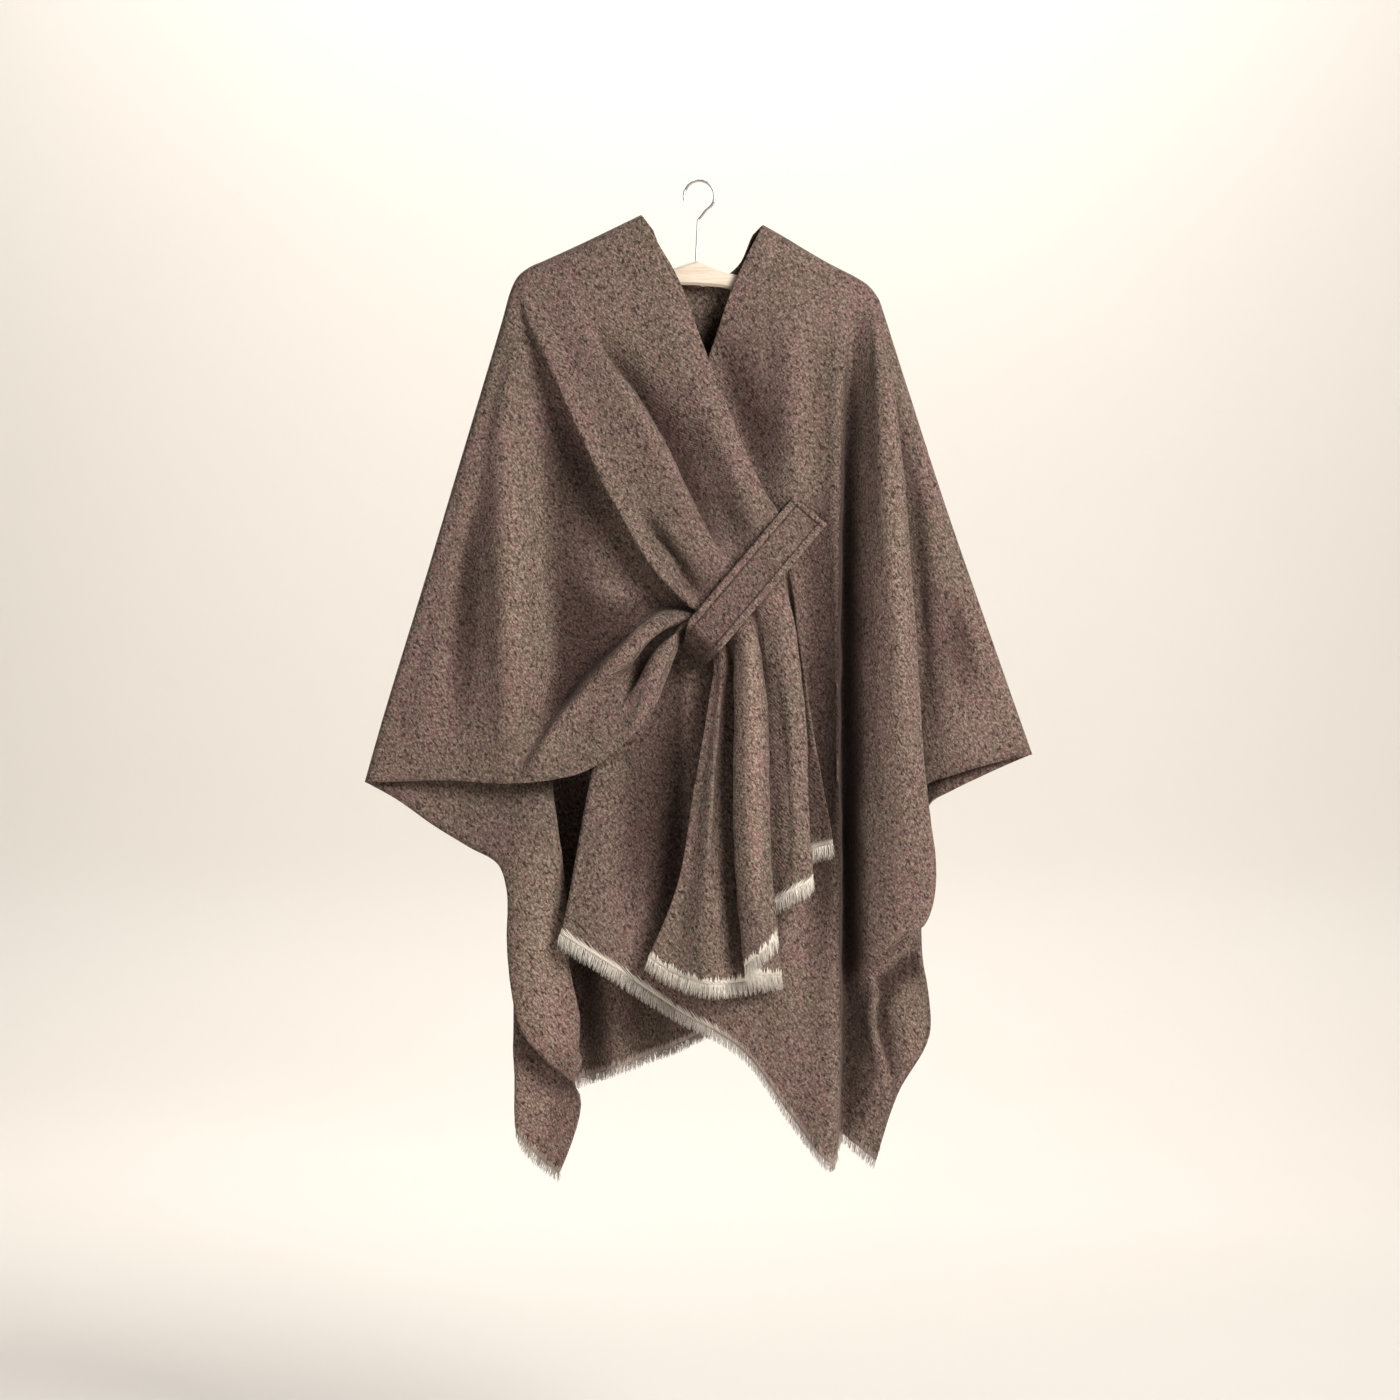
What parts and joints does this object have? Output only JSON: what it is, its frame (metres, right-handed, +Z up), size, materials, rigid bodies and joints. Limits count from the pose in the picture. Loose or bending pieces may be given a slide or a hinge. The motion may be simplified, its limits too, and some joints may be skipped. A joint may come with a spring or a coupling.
{
  "type": "open-front poncho wrap on a clothes hanger",
  "caption": "Woven open-front poncho hung on a wooden hanger, one front drawn through a strap loop, with fringed hems.",
  "frame": {"origin": "the inside top of the hanger's hook, where it rests on a rail or peg", "axes": "+Z up, +X to the right as seen from the front, -Y out of the garment's front"},
  "size_m": [0.673, 0.149, 1.0102],
  "materials": {
    "tweed": "heathered brown and mauve woollen twill, soft and matte",
    "cream_fringe": "loose cream yarn ends",
    "pale_wood": "pale smooth wood, satin",
    "steel": "plain steel wire"
  },
  "bodies": {
    "root": {"back": "tweed", "right_front": "tweed", "left_front": "tweed", "strap": "tweed", "back_fringe": "cream_fringe", "right_front_fringe": "cream_fringe", "left_front_fringe": "cream_fringe", "hanger": "pale_wood", "hook": "steel"}
  },
  "joints": []
}
